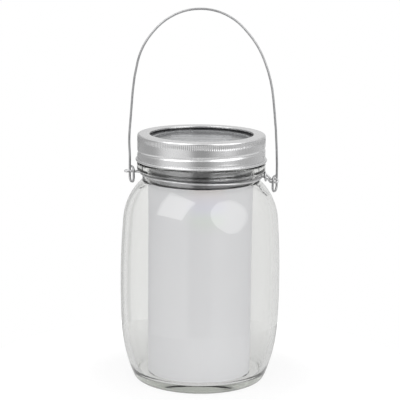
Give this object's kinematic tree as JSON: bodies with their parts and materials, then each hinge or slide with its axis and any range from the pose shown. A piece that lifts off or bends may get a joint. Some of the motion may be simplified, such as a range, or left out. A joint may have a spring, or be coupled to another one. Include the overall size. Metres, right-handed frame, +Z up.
{
  "type": "mason jar lantern",
  "caption": "Round glass mason jar lantern with a screw band, a solar lamp lid, a rolled diffuser film and a wire bail handle for hanging.",
  "frame": {"origin": "centre of the jar's base ring, on the surface that it stands on", "axes": "+Z up along the jar's axis; -Y is the front of the picture; +X is the side of the wrapped ear"},
  "size_m": [0.09, 0.09, 0.2106],
  "materials": {
    "clear_glass": "smooth, clear",
    "white_film": "translucent satin",
    "tinned_band": "satin, rolled",
    "gasket_rubber": "matte",
    "black_shell": "fine moulded texture",
    "panel_backing": "matte",
    "silicon": "dark, glossy",
    "busbar_metal": "bright",
    "clear_resin": "glossy, clear",
    "board_green": "solder mask",
    "chip_black": "moulded",
    "ferrite": "matte",
    "lamp_epoxy": "clear epoxy",
    "pin_metal": "tinned",
    "switch_black": "moulded",
    "slider_white": "moulded",
    "cell_sleeve": "shrink sleeve",
    "contact_metal": "nickel plated",
    "lead_red": "insulation",
    "lead_black": "insulation",
    "galvanised_wire": "drawn, zinc coated"
  },
  "bodies": {
    "jar": {"glass_jar": "clear_glass", "diffuser_film": "white_film", "neck_wire": "galvanised_wire"},
    "solar_module": {"lid_gasket": "gasket_rubber", "module_housing": "black_shell", "panel_board": "panel_backing", "solar_cells": "silicon", "cell_busbars": "busbar_metal", "panel_resin": "clear_resin", "circuit_board": "board_green", "driver_chip": "chip_black", "inductor": "ferrite", "led_lamp": "lamp_epoxy", "led_leads": "pin_metal", "switch_body": "switch_black", "battery_cell": "cell_sleeve", "battery_plates": "contact_metal", "battery_spring": "contact_metal", "module_cover": "black_shell", "cover_screws": "pin_metal", "panel_lead_red": "lead_red", "panel_lead_black": "lead_black", "battery_lead_red": "lead_red", "battery_lead_black": "lead_black"},
    "band": {"screw_band": "tinned_band"},
    "switch": {"switch_slider": "slider_white"},
    "bail": {"bail_handle": "galvanised_wire"}
  },
  "joints": [
    {"name": "lid_rise", "type": "slide", "parent": "jar", "child": "solar_module", "axis": [0, 0, 1], "range_m": [0, 0.0075]},
    {"name": "band_turn", "type": "hinge", "parent": "solar_module", "child": "band", "pos_m": [0, 0, 0.133], "axis": [0, 0, 1], "range_deg": [0, 540]},
    {"name": "switch_slide", "type": "slide", "parent": "solar_module", "child": "switch", "axis": [1, 0, 0], "range_m": [0, 0.002]},
    {"name": "bail_swing", "type": "hinge", "parent": "jar", "child": "bail", "pos_m": [-0.03889, 0, 0.11894], "axis": [0.9983, 0, -0.0577], "range_deg": [-126, 126]}
  ],
  "couplings": [
    {"joint": "lid_rise", "follows": "band_turn", "m_per_rad": 0.00079577}
  ]
}
